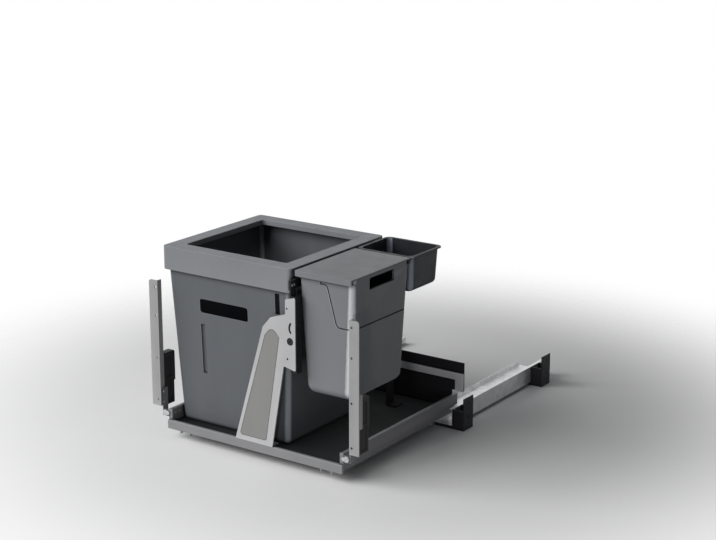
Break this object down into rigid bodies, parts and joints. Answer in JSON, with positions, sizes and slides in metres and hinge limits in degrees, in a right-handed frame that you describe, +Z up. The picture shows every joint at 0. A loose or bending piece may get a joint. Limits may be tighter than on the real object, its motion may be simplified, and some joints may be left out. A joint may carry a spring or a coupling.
{
  "type": "pull-out waste sorting unit",
  "caption": "Pull-out waste sorting unit for a base cabinet: runners and a tray that carry a large bin with a bag collar, a hanging caddy with a lid, and a tub.",
  "frame": {"origin": "middle of the unit in width and depth as pulled out, on the cabinet floor", "axes": "+X to the right seen from the front, +Y into the cabinet along the runners, +Z up"},
  "size_m": [0.562, 0.851, 0.432],
  "materials": {
    "zinc": "satin",
    "bright_zinc": "satin",
    "bearing_steel": "polished",
    "cage_plastic": "matt",
    "spring_steel": "satin",
    "black_steel": "fine matt",
    "black_panel": "fine matt",
    "black_plastic": "matt",
    "strip_grey": "fine texture",
    "arm_grey": "fine texture",
    "inlay_grey": "fine texture",
    "wall_grey": "satin",
    "rail_grey": "satin",
    "rear_rail_grey": "satin",
    "board": "faced chipboard",
    "mat": "matt",
    "bin_grey": "fine grain",
    "collar_grey": "fine grain",
    "caddy_grey": "fine grain",
    "lid_grey": "fine grain",
    "tub_grey": "fine grain"
  },
  "bodies": {
    "cabinet_side": {"cabinet_rail_left": "zinc", "cabinet_rail_right": "zinc", "rail_support_left": "zinc", "rail_support_right": "zinc", "front_runner_bracket_left": "black_steel", "front_runner_bracket_right": "black_steel", "rear_runner_brackets": "black_steel", "runner_screws": "bright_zinc", "closer_housing_left": "cage_plastic", "closer_housing_right": "cage_plastic", "closer_springs": "spring_steel", "closer_dampers": "cage_plastic"},
    "carriage": {"drawer_rail_left": "zinc", "drawer_rail_right": "zinc", "side_wall_left": "wall_grey", "side_wall_right": "wall_grey", "front_rail": "rail_grey", "tray_board": "board", "floor_mat": "mat", "back_panel": "black_panel", "rear_rail": "rear_rail_grey", "hanger_bar": "black_steel", "hanger_post": "black_steel", "hanger_rivets": "bright_zinc", "support_arm": "arm_grey", "arm_inlay": "inlay_grey", "arm_screws": "bright_zinc", "front_strip_left": "strip_grey", "front_strip_right": "strip_grey", "front_bracket_left": "wall_grey", "front_bracket_right": "wall_grey", "bracket_block_left": "black_plastic", "bracket_block_right": "black_plastic", "bracket_rivets": "bright_zinc", "tongue_screws": "bright_zinc", "tray_screws": "bright_zinc", "closer_pins": "spring_steel"},
    "middle_left": {"middle_rail_left": "zinc"},
    "outer_cage_left": {"outer_ball_cage_left": "cage_plastic", "outer_balls_left": "bearing_steel"},
    "inner_cage_left": {"inner_ball_cage_left": "cage_plastic", "inner_balls_left": "bearing_steel"},
    "catch_left": {"closer_catch_left": "cage_plastic", "damper_rod_left": "bright_zinc"},
    "lever_left": {"lock_lever_left": "bright_zinc"},
    "middle_right": {"middle_rail_right": "zinc"},
    "outer_cage_right": {"outer_ball_cage_right": "cage_plastic", "outer_balls_right": "bearing_steel"},
    "inner_cage_right": {"inner_ball_cage_right": "cage_plastic", "inner_balls_right": "bearing_steel"},
    "catch_right": {"closer_catch_right": "cage_plastic", "damper_rod_right": "bright_zinc"},
    "lever_right": {"lock_lever_right": "bright_zinc"},
    "cam": {"cam_adjuster": "inlay_grey"},
    "big_bin": {"big_bin": "bin_grey"},
    "bag_collar": {"bag_collar": "collar_grey"},
    "caddy_holder": {"caddy_holder": "caddy_grey"},
    "caddy_bucket": {"caddy_bucket": "caddy_grey"},
    "caddy_lid": {"caddy_lid": "lid_grey"},
    "utensil_tub": {"utensil_tub": "tub_grey"}
  },
  "joints": [
    {"name": "pull_out", "type": "slide", "parent": "cabinet_side", "child": "carriage", "axis": [0, 1, 0], "range_m": [0, 0.396]},
    {"name": "middle_rail_left", "type": "slide", "parent": "cabinet_side", "child": "middle_left", "axis": [0, 1, 0], "range_m": [0, 0.198]},
    {"name": "outer_cage_left", "type": "slide", "parent": "cabinet_side", "child": "outer_cage_left", "axis": [0, 1, 0], "range_m": [0, 0.099]},
    {"name": "inner_cage_left", "type": "slide", "parent": "middle_left", "child": "inner_cage_left", "axis": [0, 1, 0], "range_m": [0, 0.099]},
    {"name": "middle_rail_right", "type": "slide", "parent": "cabinet_side", "child": "middle_right", "axis": [0, 1, 0], "range_m": [0, 0.198]},
    {"name": "outer_cage_right", "type": "slide", "parent": "cabinet_side", "child": "outer_cage_right", "axis": [0, 1, 0], "range_m": [0, 0.099]},
    {"name": "inner_cage_right", "type": "slide", "parent": "middle_right", "child": "inner_cage_right", "axis": [0, 1, 0], "range_m": [0, 0.099]},
    {"name": "big_bin_lift", "type": "slide", "parent": "carriage", "child": "big_bin", "axis": [0, 0, 1], "range_m": [0, 0.35]},
    {"name": "bag_collar_lift", "type": "slide", "parent": "big_bin", "child": "bag_collar", "axis": [0, 0, 1], "range_m": [0, 0.09]},
    {"name": "caddy_lift", "type": "slide", "parent": "carriage", "child": "caddy_holder", "axis": [0, 0, 1], "range_m": [0, 0.26]},
    {"name": "bucket_lift", "type": "slide", "parent": "caddy_holder", "child": "caddy_bucket", "axis": [0, 0, 1], "range_m": [0, 0.26]},
    {"name": "lid_lift", "type": "slide", "parent": "caddy_bucket", "child": "caddy_lid", "axis": [0, 0, 1], "range_m": [0, 0.06]},
    {"name": "tub_lift", "type": "slide", "parent": "carriage", "child": "utensil_tub", "axis": [0, 0, 1], "range_m": [0, 0.1]},
    {"name": "catch_left", "type": "slide", "parent": "cabinet_side", "child": "catch_left", "axis": [0, 1, 0], "range_m": [-0.04, 0], "stiffness_N_per_m": 200, "springref_m": 0.03},
    {"name": "lock_lever_left", "type": "hinge", "parent": "carriage", "child": "lever_left", "pos_m": [-0.243, -0.4225, 0.056], "axis": [0, -1, 0], "range_deg": [0, 60]},
    {"name": "catch_right", "type": "slide", "parent": "cabinet_side", "child": "catch_right", "axis": [0, 1, 0], "range_m": [-0.04, 0], "stiffness_N_per_m": 200, "springref_m": 0.03},
    {"name": "lock_lever_right", "type": "hinge", "parent": "carriage", "child": "lever_right", "pos_m": [0.243, -0.4225, 0.056], "axis": [0, 1, 0], "range_deg": [0, 60]},
    {"name": "cam_turn", "type": "hinge", "parent": "carriage", "child": "cam", "pos_m": [0.1045, -0.424, 0.2836], "axis": [0, 1, 0], "range_deg": [-90, 90]}
  ],
  "couplings": [
    {"joint": "middle_rail_left", "follows": "pull_out", "ratio": 0.5},
    {"joint": "outer_cage_left", "follows": "pull_out", "ratio": 0.25},
    {"joint": "inner_cage_left", "follows": "pull_out", "ratio": 0.25},
    {"joint": "middle_rail_right", "follows": "pull_out", "ratio": 0.5},
    {"joint": "outer_cage_right", "follows": "pull_out", "ratio": 0.25},
    {"joint": "inner_cage_right", "follows": "pull_out", "ratio": 0.25}
  ]
}
